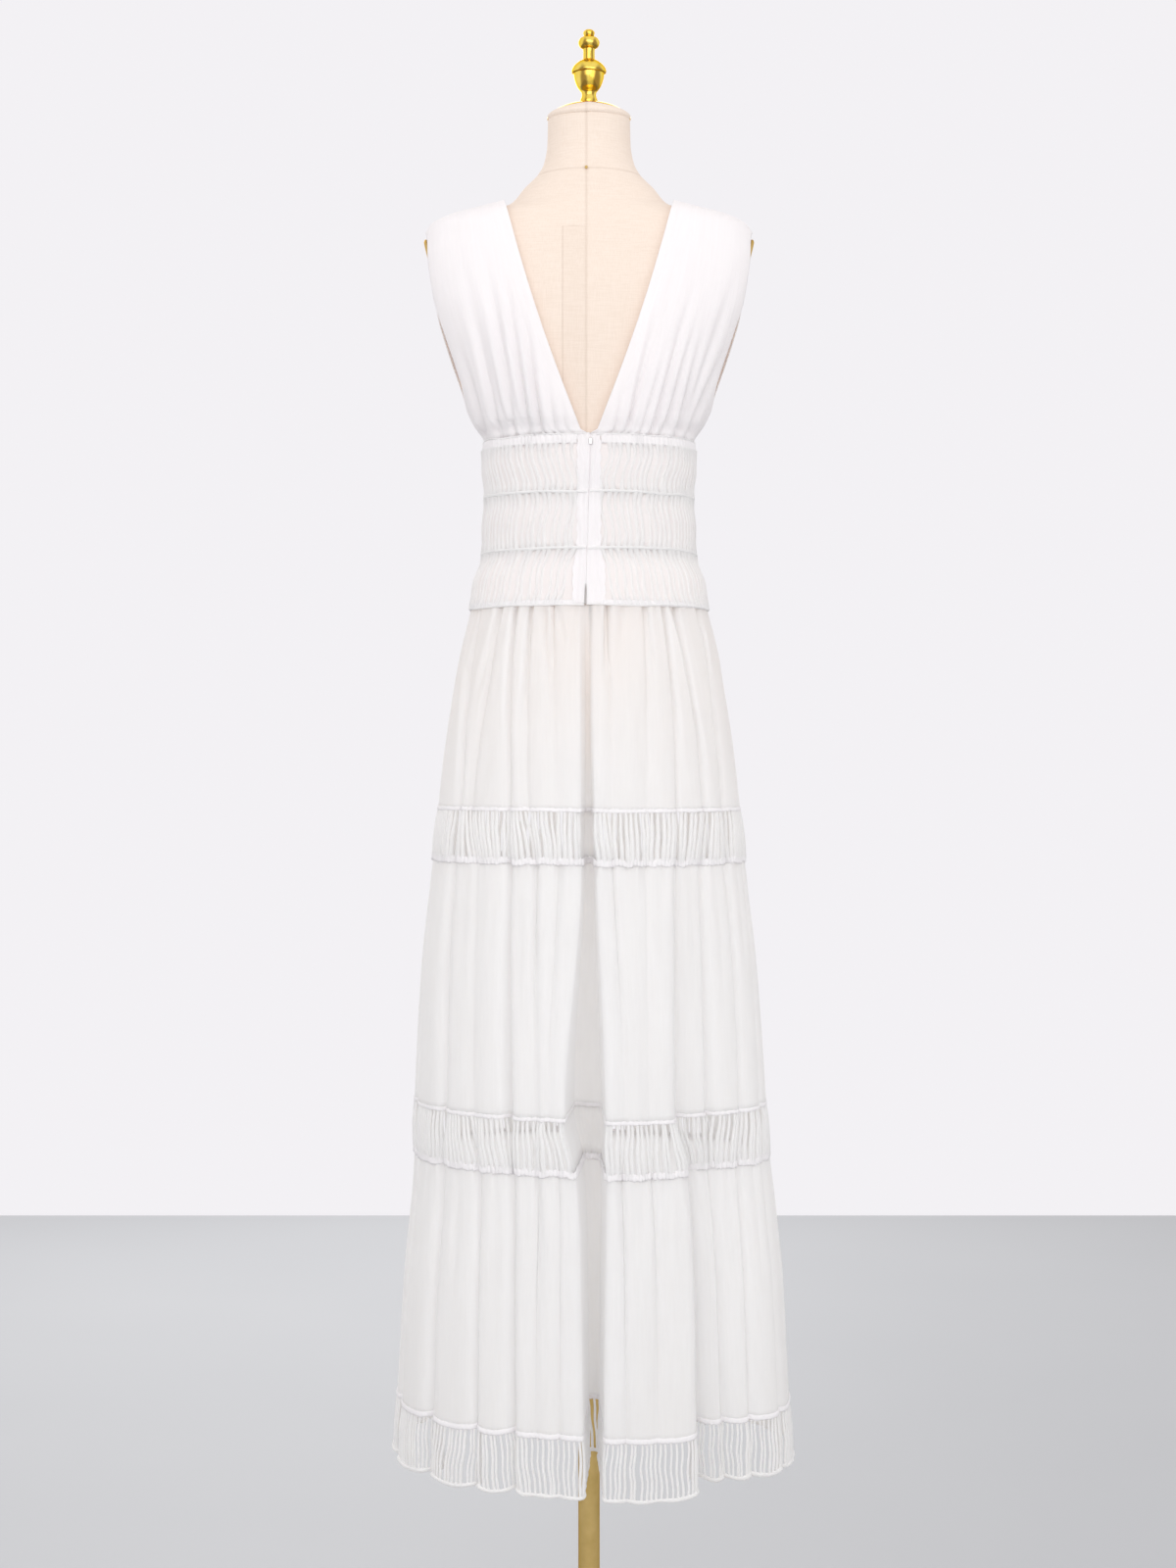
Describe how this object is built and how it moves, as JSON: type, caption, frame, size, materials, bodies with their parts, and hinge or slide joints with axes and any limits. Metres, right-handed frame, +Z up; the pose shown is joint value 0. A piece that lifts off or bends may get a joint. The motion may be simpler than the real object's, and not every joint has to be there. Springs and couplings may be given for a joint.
{
  "type": "sleeveless tiered maxi dress on a limbless dress form with pole and round base",
  "caption": "Sleeveless maxi dress with a deep back V, banded openwork waist and tiered skirt with openwork bands, standing on a limbless dress form.",
  "frame": {"origin": "on the floor, under the axis of the stand's pole", "axes": "+Z up; the dress faces -Y, so its back and zip are at +Y and its wearer's left is at +X"},
  "size_m": [0.4477, 0.4189, 1.856],
  "materials": {
    "white_cotton": "soft woven cotton, matt",
    "white_openwork": "open drawn-thread strips, matt",
    "form_linen": "smooth stretched linen, matt",
    "antique_brass": "aged, satin",
    "bright_gold": "polished",
    "zip_metal": "satin"
  },
  "bodies": {
    "root": {"arm_plate_left": "antique_brass", "arm_plate_right": "antique_brass", "bodice_back_left": "white_cotton", "bodice_back_right": "white_cotton", "bodice_front_left": "white_cotton", "bodice_front_right": "white_cotton", "finial": "bright_gold", "form_torso": "form_linen", "hem_lattice": "white_openwork", "neck_cap": "bright_gold", "neck_pin": "antique_brass", "skirt_lattice_1": "white_openwork", "skirt_lattice_2": "white_openwork", "skirt_tier_1_left": "white_cotton", "skirt_tier_1_right": "white_cotton", "skirt_tier_2_left": "white_cotton", "skirt_tier_2_right": "white_cotton", "skirt_tier_3": "white_cotton", "stand_base": "antique_brass", "stand_pole": "antique_brass", "waist_band_lower": "white_openwork", "waist_band_middle": "white_openwork", "waist_band_upper": "white_openwork", "waist_piping_1": "white_cotton", "waist_piping_2": "white_cotton", "waist_piping_3": "white_cotton", "waist_piping_4": "white_cotton", "zip_placket_left": "white_cotton", "zip_placket_right": "white_cotton", "zip_slider": "zip_metal"}
  },
  "joints": []
}
